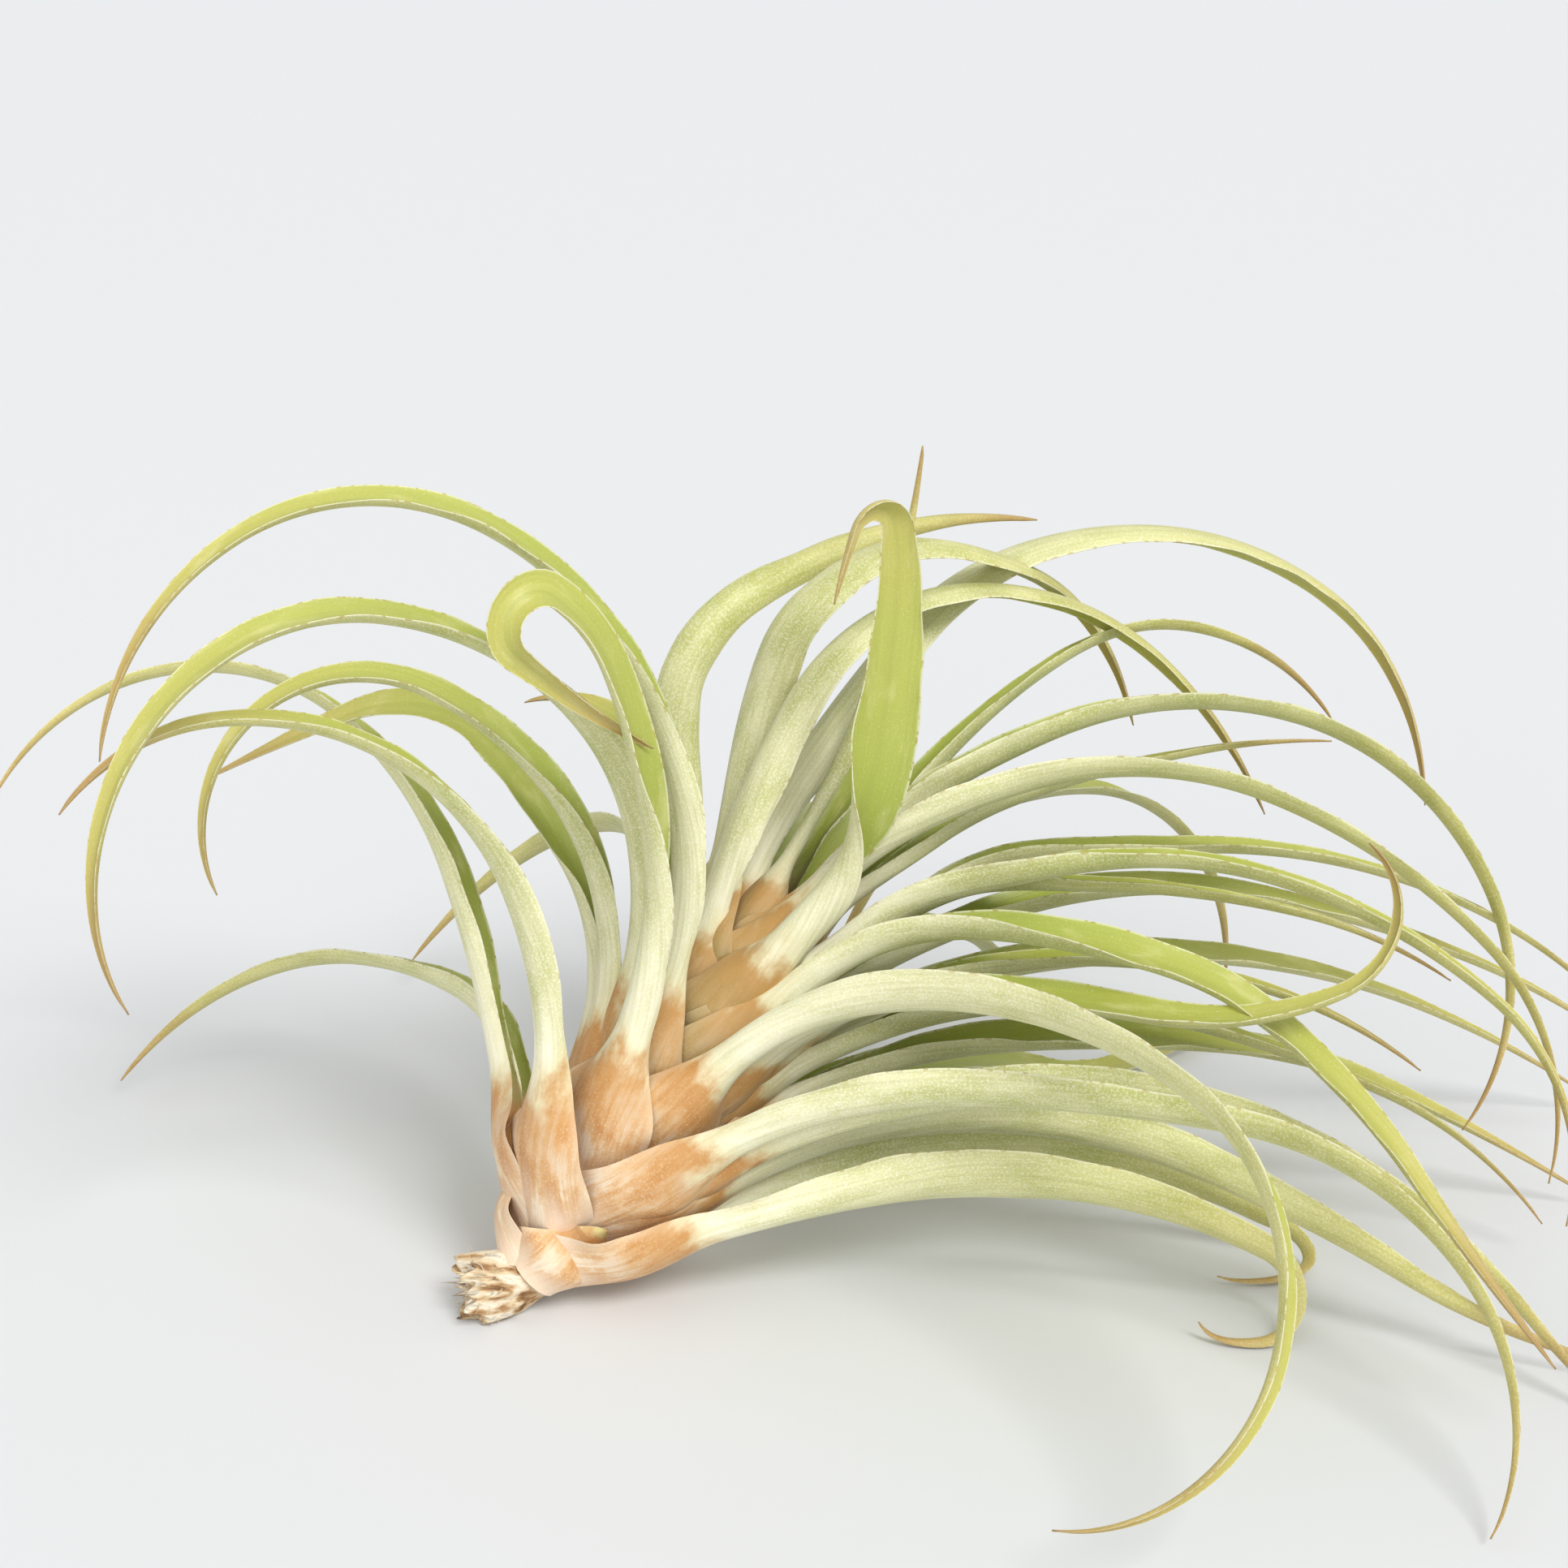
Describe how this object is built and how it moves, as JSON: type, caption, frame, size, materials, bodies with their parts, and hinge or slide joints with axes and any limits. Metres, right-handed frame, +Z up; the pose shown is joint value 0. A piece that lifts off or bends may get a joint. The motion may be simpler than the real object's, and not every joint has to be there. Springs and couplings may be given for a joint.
{
  "type": "air plant",
  "caption": "Air plant resting on its side: a short leafy stem with a broken stump, wide clasping leaf bases and long channelled leaves that arch over and taper to threads.",
  "frame": {"origin": "centre of the footprint of the plant as it lies, on the surface under it", "axes": "+Z up from the surface, +X the way the leafy end points, along its longest side, +Y towards the back leaves"},
  "size_m": [0.4498, 0.3424, 0.2016],
  "materials": {
    "leaf": "matt, dusted with fine silvery scales",
    "stem": "dry broken fibre"
  },
  "bodies": {
    "root": {"stem": "stem", "sheath_1": "leaf", "sheath_2": "leaf", "sheath_3": "leaf", "leaf_01": "leaf", "leaf_02": "leaf", "leaf_03": "leaf", "leaf_04": "leaf", "leaf_05": "leaf", "leaf_06": "leaf", "leaf_07": "leaf", "leaf_08": "leaf", "leaf_09": "leaf", "leaf_10": "leaf", "leaf_11": "leaf", "leaf_12": "leaf", "leaf_13": "leaf", "leaf_14": "leaf", "leaf_15": "leaf", "leaf_16": "leaf", "leaf_17": "leaf", "leaf_18": "leaf", "leaf_19": "leaf", "leaf_20": "leaf", "leaf_21": "leaf", "leaf_22": "leaf", "leaf_23": "leaf", "leaf_24": "leaf", "leaf_25": "leaf", "leaf_26": "leaf", "leaf_27": "leaf", "leaf_28": "leaf", "leaf_29": "leaf", "leaf_30": "leaf", "leaf_31": "leaf", "leaf_32": "leaf", "leaf_33": "leaf", "leaf_34": "leaf", "leaf_35": "leaf", "leaf_36": "leaf", "leaf_37": "leaf", "leaf_38": "leaf", "leaf_39": "leaf", "leaf_40": "leaf", "leaf_41": "leaf", "leaf_42": "leaf", "leaf_43": "leaf"}
  },
  "joints": []
}
